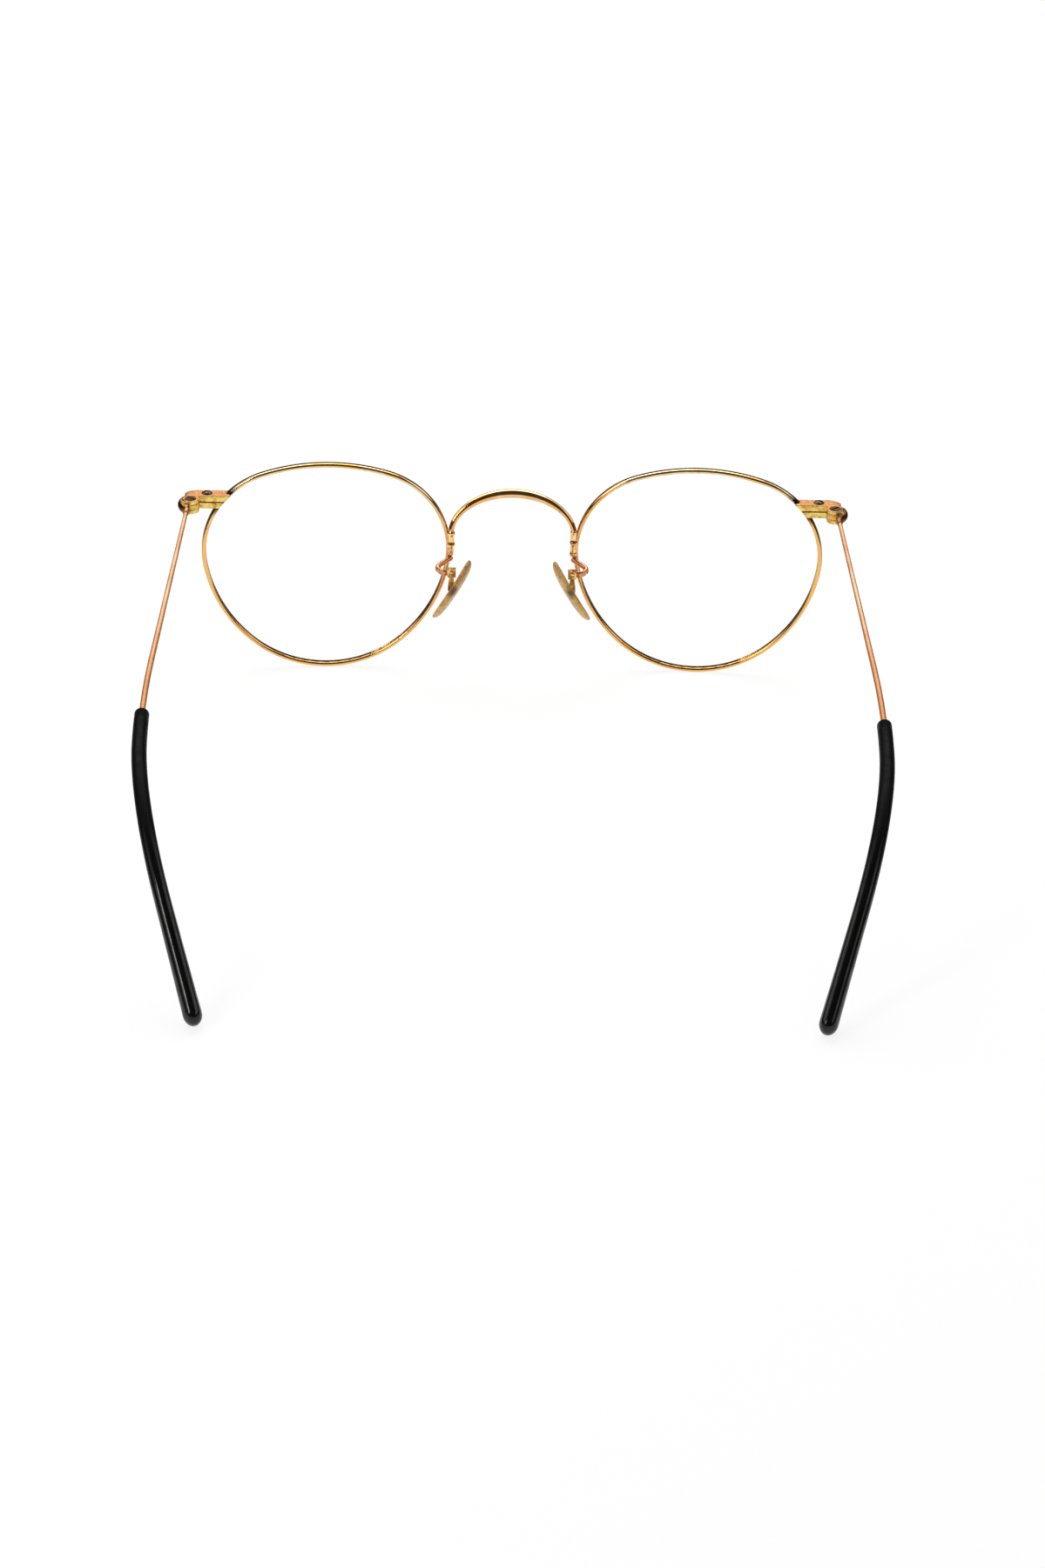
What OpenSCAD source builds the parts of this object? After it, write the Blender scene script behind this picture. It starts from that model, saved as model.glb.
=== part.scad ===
// Panto eyeglasses with a wire frame: grooved rims closed by two-piece end pieces,
// a saddle bridge, rocking nose pads and folding temples with ear sleeves.
// The frame stands on its two rims and two sleeve ends, front to -Y, +Z up.

/* [Lenses] */
// Width of one lens over its bevel
lens_w = 43.8; // [41:0.1:47]
// Height of one lens over its bevel
lens_h = 39; // [36:0.1:42]
// Distance between the two lenses
lens_gap = 23; // [21:0.1:25.5]
// Radius of the top edge of the lens
top_r = 36; // [33:0.5:40]
// Radius of the upper corners of the lens
corner_r = 15.4; // [14:0.1:17]
// Radius of the lower sides of the lens
side_r = 25.6; // [24:0.1:28.5]
// Radius of the bottom edge of the lens
bottom_r = 20.2; // [18.5:0.1:21.4]
// Radius of the curved front face of the lens
lens_base_r = 130; // [110:5:200]
// Thickness of the lens
lens_t = 1.9; // [1.7:0.1:2.3]

/* [Rims] */
// Thickness of the rim wire, across the edge of the lens
rim_t = 0.8; // [0.75:0.05:0.9]
// Depth of the rim wire from front to back
rim_depth = 1.4; // [1.3:0.05:1.6]
// Depth of the lens groove in the rim wire
groove_depth = 0.35; // [0.3:0.05:0.4]
// Turn of each rim about its upright middle line, outer edge back
rim_wrap = 3; // [1.5:0.5:4]

/* [Bridge] */
// Diameter of the bridge wire at the top of the arch
bridge_d = 1.7; // [1.5:0.05:1.9]
// Diameter of the bridge wire at its soldered feet
bridge_foot_d = 1.05; // [0.95:0.05:1.15]
// Height of the top of the arch above its feet
arch_rise = 11.5; // [10.5:0.1:12.8]
// Reach of the arch in front of its feet
arch_forward = 1.9; // [1:0.1:2.4]

/* [End pieces] */
// Height of the closing block, both halves together
block_h = 2.4; // [2.2:0.05:2.7]
// Depth of the closing block from front to back
block_depth = 2.6; // [2.4:0.1:2.9]
// Width of the seam between the two halves
seam = 0.15; // [0.1:0.01:0.2]
// Height of the rim's top above the middle of the closing block
block_drop = 6.94; // [6.3:0.02:7.6]
// Diameter of the closing screw's shank
closing_screw_d = 1; // [0.9:0.05:1.1]
// Diameter of the closing screw's head
closing_head_d = 2; // [1.8:0.1:2.2]

/* [Hinges] */
// Distance of the closing screw outwards from the edge of the rim
screw_out = 2.39; // [2.2:0.01:2.7]
// Distance of the closing screw behind the middle of the rim wire
screw_back = 0.21; // [0:0.01:0.4]
// Distance of the hinge axis outwards from the closing screw
hinge_out = 2.75; // [2.6:0.05:3]
// Distance of the hinge axis behind the closing screw
hinge_back = 2.55; // [2.3:0.05:2.8]
// Diameter of the hinge knuckles
knuckle_d = 2.9; // [2.6:0.05:3.2]
// Diameter of the hinge screw's shank
hinge_screw_d = 1.1; // [1:0.05:1.2]
// Thickness of the plate that curls round the knuckles
leaf_t = 0.75; // [0.65:0.05:0.85]

/* [Temples] */
// Diameter of the temple wire at the hinge
temple_d = 0.75; // [0.65:0.05:0.85]
// Diameter of the temple wire inside the sleeve
core_d = 1; // [0.9:0.05:1.1]
// Length of the straight part of the temple wire
straight_l = 56; // [51:0.5:62]
// Length of the gentle curve in front of the ear bend
curve_l = 28; // [25:0.5:32]
// Angle of that curve
curve_a = 5; // [4:0.5:6]
// Radius of the ear bend
ear_r = 40; // [36:1:44]
// Angle of the ear bend
ear_a = 46.5; // [42:0.5:51]
// Angle by which the part behind the ear leans inwards
ear_lean = 19.5; // [16:0.5:22]
// Downward slope of the temple from the hinge
temple_slope = 3.2; // [2.8:0.1:3.6]
// Outward spread of the temple
temple_spread = 2.1; // [1.5:0.1:2.5]

/* [Sleeves] */
// Width of the sleeve at its front end
sleeve_front_w = 2.45; // [2.3:0.05:2.6]
// Height of the sleeve at its front end
sleeve_front_h = 2.6; // [2.4:0.05:2.9]
// Width of the sleeve near its rear end
sleeve_end_w = 3.1; // [2.8:0.05:3.4]
// Height of the sleeve near its rear end
sleeve_end_h = 4; // [3.6:0.1:4.5]
// Length of wire left bare between the hinge and the sleeve
bare_l = 74.5; // [68:0.5:82]

/* [Nose pads] */
// Length of a nose pad
pad_l = 12.4; // [11.2:0.1:13.8]
// Width of a nose pad
pad_w = 7.6; // [6.8:0.1:8.5]
// Thickness of a nose pad in its middle
pad_t = 1.25; // [1.15:0.05:1.4]
// Lean of the pads towards each other at the top
pad_frontal = 28.4; // [25:0.1:31]
// Turn of the pads that opens them towards the wearer
pad_splay = 16.5; // [14:0.5:19]
// Diameter of the pad arm wire
arm_d = 0.95; // [0.85:0.05:1.05]

/* [Hidden] */
$fn = 48;

// Clearances: face to face fits, running fits and the small step that makes cuts pass through
fit = 0.02;
running = 0.04;
past = 0.5;
// Reach of the tools that cut right through a piece
through = 20;

// Two lengths of bent wire meet inside a hair-thin collar: each stops a nick short of the joint
nick = 0.02;
hair = 0.001;
collar_grow = 0.006;
edge_steps = 14;

// Rim middle line: the lens outline moved out to the middle of the wire
rim_out = rim_t / 2 - groove_depth + fit;
rim_w = lens_w + 2 * rim_out;
rim_h = lens_h + 2 * rim_out;
eye_x = (lens_gap + lens_w) / 2;
eye_z = (rim_h + rim_t) / 2;

// Centres of the arcs of the lens outline, in the plane of the lens with its box centre at zero
top_c = [0, lens_h / 2 - top_r];
corner_x = lens_w / 2 - corner_r;
corner_c = [corner_x, top_c[1] + sqrt(pow(top_r - corner_r, 2) - corner_x * corner_x)];
bottom_c = [0, bottom_r - lens_h / 2];
side_c = meet(corner_c, side_r - corner_r, bottom_c, side_r - bottom_r);

// Angles at which one arc hands over to the next
corner_top_a = bearing(corner_c - top_c);
corner_side_a = bearing(corner_c - side_c);
side_bottom_a = bearing(bottom_c - side_c);

// The arcs in order: centre, radius, first angle, last angle
ARCS = [
  [top_c, top_r, corner_top_a, 180 - corner_top_a],
  [flip(corner_c), corner_r, 180 - corner_top_a, 180 - corner_side_a],
  [flip(side_c), side_r, 180 - corner_side_a, 180 - side_bottom_a],
  [bottom_c, bottom_r, 180 - side_bottom_a, 360 + side_bottom_a],
  [side_c, side_r, 360 + side_bottom_a, 360 + corner_side_a],
  [corner_c, corner_r, corner_side_a, corner_top_a]
];

// Closing block and hinge, placed from the outer edge of the rim at the block's height
block_z = rim_h + rim_t - block_drop;
edge_r = corner_r + rim_out + rim_t / 2;
edge_reach = corner_x + sqrt(edge_r * edge_r - pow(block_z - eye_z - corner_c[1], 2));
screw_x = eye_x + edge_reach * cos(rim_wrap) + screw_out;
screw_y = edge_reach * sin(rim_wrap) + screw_back;
hinge_x = screw_x + hinge_out;
hinge_y = screw_y + hinge_back;
block_front = screw_y - block_depth / 2;
block_back = screw_y + block_depth / 2;
block_top = block_z + block_h / 2;
block_bottom = block_z - block_h / 2;
half_h = (block_h - seam) / 2;
// The end piece starts inside the rim, where the rim's own outline cuts it off
bar_start = eye_x + lens_w / 4;
knuckle_r = knuckle_d / 2;
mid_knuckle_h = 0.9;
knuckle_gap = 0.05;
// The plate turns clear of the knuckles
leaf_clear = 0.1;
leaf_play = 0.07;
leaf_in = knuckle_r + leaf_clear;
leaf_out = leaf_in + leaf_t;
leaf_mid = (leaf_in + leaf_out) / 2;
// The leaf starts at the stop and ends where the temple wire leaves
stop_a = -62;
wire_a = 74;
closing_head_h = 0.42;
hinge_head_d = knuckle_d * 0.7;
hinge_head_sink = 0.35;

// Temple wire path, from a start point just behind the hinge
ferrule_l = 2.2;
ferrule_sink = 0.35;
// The wire starts this far inside the ferrule
wire_seat = 0.63;
temple_start = [
  hinge_x + leaf_mid * cos(wire_a),
  hinge_y + leaf_mid * sin(wire_a) - ferrule_sink,
  block_z
];
curve_r = curve_l * 180 / (PI * curve_a);
ear_l = PI * ear_r * ear_a / 180;
base_frame = [[-1, 0, 0, 0], [0, 0, 1, 0], [0, 1, 0, 0], [0, 0, 0, 1]];
start_frame = move(temple_start) * turn_z(-temple_spread) * turn_x(-temple_slope) * base_frame;
curve_frame = start_frame * run(straight_l);
bend_frame = curve_frame * bend(curve_r, curve_a);
ear_roll = ear_lean - 90;
drop_frame = bend_frame * roll(ear_roll) * bend(ear_r, ear_a) * roll(-ear_roll);
// The sleeve's rounded end rests on the table: the last straight part is as long as that takes
end_round = 2;
end_rest = norm([
  drop_frame[2][0] * sleeve_end_w / 2,
  drop_frame[2][1] * sleeve_end_h / 2,
  drop_frame[2][2] * end_round
]);
drop_l = end_round + (end_rest - drop_frame[2][3]) / drop_frame[2][2];
path_l = straight_l + curve_l + ear_l + drop_l;
end_cover = 3;
// The sleeve keeps slim in front and flares towards its end
flare_power = 3.2;
core_end = path_l - end_cover;

// Bridge: an arch between two upright feet that are soldered to the rims
bridge_r = bridge_d / 2;
foot_r = bridge_foot_d / 2;
// Each foot lies against the back of the rim wire, a little to the nose side of its middle
foot_inset = 0.46;
foot_reach = foot_r + rim_t / 2 + fit;
foot_x = eye_x - rim_w / 2 * cos(rim_wrap) - foot_inset;
foot_back = sqrt(foot_reach * foot_reach - foot_inset * foot_inset);
foot_y = (rim_depth - rim_t) / 2 - rim_w / 2 * sin(rim_wrap) + foot_back;
// The feet end a little below the height at which the rims are widest
foot_drop = 0.75;
foot_z = eye_z + corner_c[1] - foot_drop;
foot_l = 4.7;
arch_h = arch_rise - foot_l;
// Powers of the cosine that shape the arch: its height, its reach forwards and its swelling
arch_power = 1.05;
forward_power = 1.5;
swell_power = 3;

// Pad arm: it starts just below the bridge foot, with a straight run, a half turn and a flat end at the box
arm_shift = [0.1, -0.02, -0.6];
arm_start = [foot_x, foot_y, foot_z] + arm_shift;
arm_run = 2.5;
arm_bend_r = 1.4;
arm_a = 45;
arm_tilt = 14;
// The bend is round wire at first and then flattened to a band
arm_round_a = 60;
arm_band_a = 92;
arm_frame = move(arm_start) * turn_x(-arm_tilt) * turn_z(-arm_a) * base_frame;
arm_curl = arm_frame * run(arm_run);
arm_band = arm_curl * bend(arm_bend_r, arm_round_a);
arm_end = at(arm_band * bend(arm_bend_r, arm_band_a), [0, 0, 0]);

// Pad box on the end of the arm, with its pin along Y
box_size = [1.5, 1.3, 1.4];
box_seat = 0.1;
box_c = arm_end - [box_size[0] / 2 - box_seat, 0, 0];
slot_w = 0.72;
tang_t = 0.6;
pin_d = 0.5;
pin_head_d = 0.95;
tang_r = 0.46;

// Nose pad: its frame has -X as the bearing side and Z as the long side
pad_hang = [-0.6, 0.7, -3.3];
pad_c = box_c + pad_hang;
pad_tilt = 16;
// Height of the mount's disc above the middle of the pad, along the pad
mount_rise = -0.5;
pad_frame = move(pad_c) * turn_z(-pad_splay) * turn_y(-pad_frontal) * turn_x(pad_tilt);
// Egg shape of the pad's outline, and how far its ends and its sides bow back
egg = 0.16;
long_bow = 0.55;
cross_bow = 0.35;
disc_d = 3;
disc_t = 0.4;
disc_sink = 0.3;

// The origin is on the table, below the middle of the whole frame's box
front_y = foot_y - arch_forward - bridge_r;
end_reach = norm([
  drop_frame[1][0] * sleeve_end_w / 2,
  drop_frame[1][1] * sleeve_end_h / 2,
  drop_frame[1][2] * end_round
]);
back_y = at(drop_frame, [0, 0, drop_l - end_round])[1] + end_reach;
origin_y = (front_y + back_y) / 2;

// Small geometry helpers
function flip(p) = [-p[0], p[1]];
function reversed(list) = [for (i = [len(list) - 1:-1:0]) list[i]];
function bearing(v) = atan2(v[1], v[0]);
function mix(a, b, t) = a + (b - a) * t;
function clamp(t) = min(1, max(0, t));
function cross_point(a, e, along, up) = a + along * e + up * [-e[1], e[0]];

// The upper one of the two points at distances da and db from a and b
function meet(a, da, b, db) =
  let (d = norm(b - a), e = (b - a) / d)
  let (along = (da * da - db * db + d * d) / (2 * d))
  let (up = sqrt(da * da - along * along))
  let (p = cross_point(a, e, along, up), q = cross_point(a, e, along, -up))
  p[1] > q[1] ? p : q;

// Frames as matrices: a heading along local Z
function move(v) = [[1, 0, 0, v[0]], [0, 1, 0, v[1]], [0, 0, 1, v[2]], [0, 0, 0, 1]];
function run(l) = move([0, 0, l]);
function turn_x(a) = [[1, 0, 0, 0], [0, cos(a), -sin(a), 0], [0, sin(a), cos(a), 0], [0, 0, 0, 1]];
function turn_y(a) = [[cos(a), 0, sin(a), 0], [0, 1, 0, 0], [-sin(a), 0, cos(a), 0], [0, 0, 0, 1]];
function turn_z(a) = [[cos(a), -sin(a), 0, 0], [sin(a), cos(a), 0, 0], [0, 0, 1, 0], [0, 0, 0, 1]];
function roll(a) = turn_z(a);
function bend(r, a) = move([r * (1 - cos(a)), 0, r * sin(a)]) * turn_y(a);
function at(frame, p) = let (q = frame * [p[0], p[1], p[2], 1]) [q[0], q[1], q[2]];

// The temple's frame at a length s along its middle line
function temple_frame(s) =
  s <= straight_l ? start_frame * run(s) :
  s <= straight_l + curve_l ? curve_frame * bend(curve_r, (s - straight_l) / curve_l * curve_a) :
  s <= straight_l + curve_l + ear_l ?
    bend_frame * roll(ear_roll) * bend(ear_r, (s - straight_l - curve_l) / ear_l * ear_a) * roll(-ear_roll) :
  drop_frame * run(s - straight_l - curve_l - ear_l);

// Everything is drawn for the wearer's left side, and mirrored for the right
module left() {
  translate([0, -origin_y, 0]) children();
}

module right() {
  mirror([1, 0, 0]) left() children();
}

// Skin over a list of rings that all have the same number of points
module skin(rings) {
  n = len(rings[0]);
  last = len(rings) - 1;
  points = [for (ring = rings) each ring];
  sides = [for (i = [0:last - 1], j = [0:n - 1])
    let (a = i * n + j, b = i * n + (j + 1) % n)
    each [[a, b + n, b], [a, a + n, b + n]]];
  first_cap = [for (j = [0:n - 1]) j];
  last_cap = [for (j = [n - 1:-1:0]) last * n + j];
  polyhedron(points, concat(sides, [first_cap, last_cap]), convexity = 8);
}

// One arc of wire that leaves the frame's origin along Z and curls to local +X
module arc_wire(frame, r, a) {
  trim = nick / r * 180 / PI;
  multmatrix(frame)
    translate([r, 0, 0])
      rotate([90, 0, 0])
        rotate([0, 0, 180 - a + trim])
          rotate_extrude(angle = a - 2 * trim, $fn = 96 + 32 * ceil(r / 10))
            translate([r, 0])
              children();
}

// Straight round wire along a frame's local Z, from a nick after its start to a nick before l
module straight_wire(frame, l, d1, d2) {
  multmatrix(frame)
    translate([0, 0, nick])
      cylinder(d1 = d1, d2 = d2, h = l - 2 * nick, $fn = 24);
}

module collar(frame, d) {
  multmatrix(frame)
    translate([0, 0, -2 * nick])
      cylinder(d = d + 2 * collar_grow, h = 4 * nick, $fn = 24);
}

// Places children in the plane of the left lens, local Z towards the wearer
module in_eye() {
  translate([eye_x, 0, eye_z])
    rotate([0, 0, rim_wrap])
      rotate([90, 0, 0])
        mirror([0, 0, 1])
          children();
}

// Points of the lens outline moved outwards
function outline(out) = [for (arc = ARCS, i = [0:edge_steps - 1])
  let (a = mix(arc[2], arc[3], i / edge_steps))
  arc[0] + (arc[1] + out) * [cos(a), sin(a)]];

// One arc of the outline swept with a profile whose X is measured from the lens edge outwards
module outline_arc(arc) {
  trim = nick / arc[1] * 180 / PI;
  translate(arc[0])
    rotate([0, 0, arc[2] + trim])
      rotate_extrude(angle = arc[3] - arc[2] - 2 * trim, $fn = 96)
        translate([arc[1], 0])
          children();
}

// The whole outline: the first child is swept, the second is the same profile grown for the collars
module round_outline() {
  for (arc = ARCS) {
    outline_arc(arc)
      children(0);
    translate(arc[0])
      rotate([0, 0, arc[3]])
        translate([arc[1], 0])
          rotate([90, 0, 0])
            linear_extrude(height = 4 * nick, center = true)
              children(1);
  }
}

// Section of the rim wire without its groove: flat-sided, with round front and back edges
module wire_section(grow = 0) {
  round_r = rim_t / 2 + grow;
  flat = rim_depth - rim_t;
  translate([rim_out, 0]) {
    square([2 * round_r, flat], center = true);
    for (side = [-1, 1])
      translate([0, side * flat / 2])
        circle(r = round_r, $fn = 32);
  }
}

// The same section with the groove for the lens bevel in its inner side
module rim_profile(grow = 0) {
  groove_slope = 0.85;
  inside = groove_depth + past;
  mouth = inside * groove_slope;
  difference() {
    wire_section(grow);
    polygon([[fit - grow, 0], [-inside, -mouth], [-inside, mouth]]);
  }
}

// The wire is cut at the seam of the end piece, where the lens goes in
module eyewire() {
  color("goldenrod")
    difference() {
      in_eye()
        round_outline() {
          rim_profile();
          rim_profile(collar_grow);
        }
      translate([bar_start, -through / 2, block_z - seam / 2])
        cube([through, through, seam]);
    }
}

// Solid rim wire of one upper corner, used to cut a seat in what is soldered to it
module corner_cutter(arc) {
  in_eye()
    outline_arc(arc)
      wire_section(fit);
}

// Bevel ridge of the lens, which sits in the rim's groove
module bevel_profile(grow = 0) {
  bevel_w = 0.48;
  half = bevel_w / 2 + grow;
  root = 0.3;
  rise = 0.03;
  base = -groove_depth - root;
  foot = -groove_depth + rise;
  polygon([[base, -half], [foot, -half], [grow, 0], [foot, half], [base, half]]);
}

// Lens: a curved shell cut to the outline, with its bevel ridge
module lens() {
  sag = pow(lens_w / 2, 2) / (2 * lens_base_r);
  // The bevel runs nearer to the front face at the rim than to the back face
  bevel_share = 0.9;
  blank_t = lens_t * 5;
  centre = [0, 0, lens_base_r - lens_t / 2 - sag * bevel_share];
  color("azure", 0.35)
    in_eye() {
      difference() {
        intersection() {
          linear_extrude(height = blank_t, center = true)
            polygon(outline(-groove_depth));
          translate(centre)
            sphere(r = lens_base_r, $fn = 100);
        }
        translate(centre)
          sphere(r = lens_base_r - lens_t, $fn = 100);
      }
      round_outline() {
        bevel_profile();
        bevel_profile(collar_grow);
      }
    }
}

// Bridge wire: radius and middle line as a function of the angle t, 0 at the top
function arch_point(t) =
  let (w = pow(cos(t), arch_power))
  [foot_x * sin(t), foot_y - arch_forward * pow(w, forward_power), foot_z + foot_l + arch_h * w];
function arch_radius(t) = mix(foot_r, bridge_r, pow(cos(t), swell_power));

module bridge() {
  steps = 22;
  sides = 16;
  last_a = 88.5;
  straight = foot_l * 0.8;
  tip_r = foot_r * 0.85;
  angles = [for (i = [-steps:steps]) last_a * sin(i * 90 / steps)];
  middle = concat(
    [[-foot_x, foot_y, foot_z], [-foot_x, foot_y, foot_z + straight]],
    [for (t = angles) arch_point(t)],
    [[foot_x, foot_y, foot_z + straight], [foot_x, foot_y, foot_z]]
  );
  radii = concat([tip_r, foot_r], [for (t = angles) arch_radius(t)], [foot_r, tip_r]);
  color("gold")
    skin([for (i = [0:len(middle) - 1]) ring_at(middle, i, radii[i], sides)]);
}

// A round ring across the middle line at its point i
function ring_at(line, i, r, n) =
  let (a = line[max(0, i - 1)], b = line[min(len(line) - 1, i + 1)])
  let (ahead = (b - a) / norm(b - a), side = cross(ahead, [0, 1, 0]))
  let (out = side / norm(side), back = cross(ahead, out))
  [for (k = [0:n - 1]) line[i] + r * (cos(k * 360 / n) * out + sin(k * 360 / n) * back)];

// Plan of the end piece: a bar along the front, rounded at its outer corner, with a knuckle behind it
module end_piece_plan() {
  bar_corner_r = block_depth * 0.9;
  bar_end = hinge_x - knuckle_r * 0.75;
  neck_overlap = 0.9;
  neck = [knuckle_r * 1.6, hinge_y - block_back + neck_overlap];
  translate([bar_start, block_front])
    square([bar_end - bar_start, block_depth]);
  intersection() {
    translate([bar_end, block_front + bar_corner_r])
      circle(r = bar_corner_r);
    translate([bar_end - fit, block_front])
      square(bar_corner_r + fit);
  }
  translate([hinge_x, hinge_y])
    circle(d = knuckle_d);
  translate([hinge_x - knuckle_r, hinge_y - neck[1]])
    square(neck);
}

// Half of the end piece between two heights, cut clear of the rim's inside and the temple leaf
module end_piece(z0, z1) {
  cover_share = 0.15;
  path_end_a = 186;
  path_in = leaf_in - leaf_play;
  path_out = leaf_out + 2 * leaf_play;
  difference() {
    translate([0, 0, z0])
      linear_extrude(height = z1 - z0)
        end_piece_plan();
    // The rim's inside stays free, and the wire gets its seat, covered from behind
    in_eye() {
      translate([0, 0, rim_depth / 2 - through])
        linear_extrude(height = through)
          polygon(outline(rim_out));
      linear_extrude(height = through)
        polygon(outline(rim_out - rim_t * cover_share));
    }
    corner_cutter(ARCS[5]);
    // Path of the leaf round the knuckles
    translate([hinge_x, hinge_y, block_bottom - past])
      rotate([0, 0, stop_a])
        rotate_extrude(angle = path_end_a - stop_a)
          translate([path_in, 0])
            square([path_out - path_in, block_h + 2 * past]);
    // Room for the middle knuckle
    translate([hinge_x, hinge_y, block_z - mid_knuckle_h / 2 - knuckle_gap])
      cylinder(r = leaf_in, h = mid_knuckle_h + 2 * knuckle_gap);
  }
}

module end_piece_upper() {
  color("rosybrown")
    difference() {
      end_piece(block_top - half_h, block_top);
      translate([screw_x, screw_y, block_bottom])
        cylinder(d = closing_screw_d + 2 * fit, h = block_h + past);
      translate([hinge_x, hinge_y, block_bottom])
        cylinder(d = hinge_screw_d + 2 * fit, h = block_h + past);
      translate([hinge_x, hinge_y, block_top - hinge_head_sink])
        cylinder(d1 = hinge_screw_d + 2 * fit, d2 = hinge_head_d + 2 * fit, h = hinge_head_sink + hair);
    }
}

module end_piece_lower() {
  color("rosybrown")
    difference() {
      end_piece(block_bottom, block_bottom + half_h);
      translate([screw_x, screw_y, block_bottom - past])
        cylinder(d = closing_screw_d + 2 * fit, h = block_h + past);
      translate([hinge_x, hinge_y, block_bottom - past])
        cylinder(d = hinge_screw_d + 2 * fit, h = block_h + past);
    }
}

// A screwdriver slot across a head whose top is at height z
module slot(z, turn) {
  width = 0.32;
  depth = 0.24;
  translate([0, 0, z - depth + through / 2])
    rotate([0, 0, turn])
      cube([through, width, through], center = true);
}

module closing_screw() {
  dome_r = (pow(closing_head_d / 2, 2) + closing_head_h * closing_head_h) / (2 * closing_head_h);
  tip_sink = 0.1;
  slot_a = 25;
  color("saddlebrown")
    translate([screw_x, screw_y, 0])
      difference() {
        union() {
          translate([0, 0, block_bottom + tip_sink])
            cylinder(d = closing_screw_d, h = block_h);
          intersection() {
            translate([0, 0, block_top + closing_head_h - dome_r])
              sphere(r = dome_r, $fn = 64);
            translate([0, 0, block_top + fit / 2])
              cylinder(d = closing_head_d - 3 * fit, h = closing_head_h);
          }
        }
        slot(block_top + closing_head_h, slot_a);
      }
}

module hinge_screw() {
  lip = 0.14;
  lip_d = hinge_head_d * 0.88;
  tip_out = 0.12;
  slot_a = -40;
  color("saddlebrown")
    translate([hinge_x, hinge_y, 0])
      difference() {
        union() {
          translate([0, 0, block_bottom - tip_out])
            cylinder(d = hinge_screw_d, h = block_h);
          translate([0, 0, block_top - hinge_head_sink])
            cylinder(d1 = hinge_screw_d, d2 = hinge_head_d, h = hinge_head_sink);
          translate([0, 0, block_top])
            cylinder(d1 = hinge_head_d, d2 = lip_d, h = lip);
        }
        slot(block_top + lip, slot_a);
      }
}

// Temple hinge: middle knuckle, the leaf that curls round the outside and the ferrule of the wire
module temple_hinge() {
  leaf_h = block_h - leaf_clear;
  first_a = stop_a + 1.2;
  last_a = wire_a + 14;
  root_r = leaf_t * 0.75;
  mouth_r = temple_d / 2 + 0.15;
  color("darkgoldenrod")
    difference() {
      union() {
        translate([hinge_x, hinge_y, block_z - leaf_h / 2])
          rotate([0, 0, first_a])
            rotate_extrude(angle = last_a - first_a)
              leaf_section(leaf_h);
        translate([hinge_x, hinge_y, block_z - mid_knuckle_h / 2])
          cylinder(r = knuckle_r, h = mid_knuckle_h);
        translate([hinge_x, hinge_y, block_z - mid_knuckle_h / 2])
          rotate([0, 0, first_a])
            rotate_extrude(angle = last_a - first_a)
              translate([knuckle_r / 2, 0])
                square([leaf_in + leaf_t / 2 - knuckle_r / 2, mid_knuckle_h]);
        multmatrix(start_frame)
          cylinder(r1 = root_r, r2 = mouth_r, h = ferrule_l);
      }
      translate([hinge_x, hinge_y, block_bottom - past])
        cylinder(d = hinge_screw_d + 2 * running, h = block_h + 2 * past);
      for (side = [0, 1])
        translate([hinge_x, hinge_y, side ? block_z + mid_knuckle_h / 2 : block_bottom - past])
          cylinder(r = leaf_in, h = block_h / 2 - mid_knuckle_h / 2 + past);
      multmatrix(start_frame)
        translate([0, 0, wire_seat - nick])
          cylinder(d = temple_d + 2 * fit, h = ferrule_l + past);
    }
}

// Section of the hinge's leaf, with its inner side straight and its outer side rounded
module leaf_section(h) {
  round_r = h * 0.6;
  intersection() {
    translate([leaf_in, 0])
      square([leaf_t, h]);
    translate([leaf_out - round_r, h / 2])
      circle(r = round_r);
  }
}

// Temple wire: a tapered straight part, then a constant core through the sleeve
module temple_wire() {
  color("peru") {
    straight_wire(start_frame * run(wire_seat), straight_l - wire_seat, temple_d, core_d);
    collar(curve_frame, core_d);
    arc_wire(curve_frame, curve_r, curve_a)
      circle(d = core_d, $fn = 24);
    collar(bend_frame, core_d);
    arc_wire(bend_frame * roll(ear_roll), ear_r, ear_a)
      circle(d = core_d, $fn = 24);
    collar(drop_frame, core_d);
    straight_wire(drop_frame, core_end - straight_l - curve_l - ear_l, core_d, core_d);
  }
}

// Half sizes of the sleeve at a share t of its length, with rounded ends
function sleeve_half(t) =
  let (grow = pow(clamp(t), flare_power))
  [mix(sleeve_front_w, sleeve_end_w, grow) / 2, mix(sleeve_front_h, sleeve_end_h, grow) / 2];

// Oval ring across the temple at length s: half sizes a across and b upright
function oval_ring(s, a, b, n) =
  let (frame = temple_frame(s))
  [for (k = [0:n - 1]) at(frame, [a * cos(k * 360 / n), b * sin(k * 360 / n), 0])];

module temple_sleeve() {
  n = 20;
  steps = 30;
  bore_steps = 24;
  bore_play = 0.06;
  bore_past = 0.3;
  lip = 0.12;
  bore_r = core_d / 2 / cos(180 / n) + bore_play;
  bore_end = core_end + bore_past;
  front_round = 0.7;
  length = path_l - bare_l;
  bore = [for (i = [bore_steps:-1:0]) oval_ring(mix(bare_l, bore_end, i / bore_steps), bore_r, bore_r, n)];
  front = [for (a = [20:35:90])
    let (h = sleeve_half(0), in = bore_r + lip, out = sin(a))
    oval_ring(bare_l + front_round * (1 - out), mix(in, h[0], out), mix(in, h[1], out), n)];
  outside = [for (i = [1:steps])
    let (s = mix(bare_l + front_round, path_l - end_round, i / steps), h = sleeve_half((s - bare_l) / length))
    oval_ring(s, h[0], h[1], n)];
  end = [for (a = [18:18:88])
    let (h = sleeve_half(1))
    oval_ring(path_l - end_round * (1 - sin(a)), h[0] * cos(a), h[1] * cos(a), n)];
  color("black")
    skin(concat(bore, front, outside, end));
}

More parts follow.
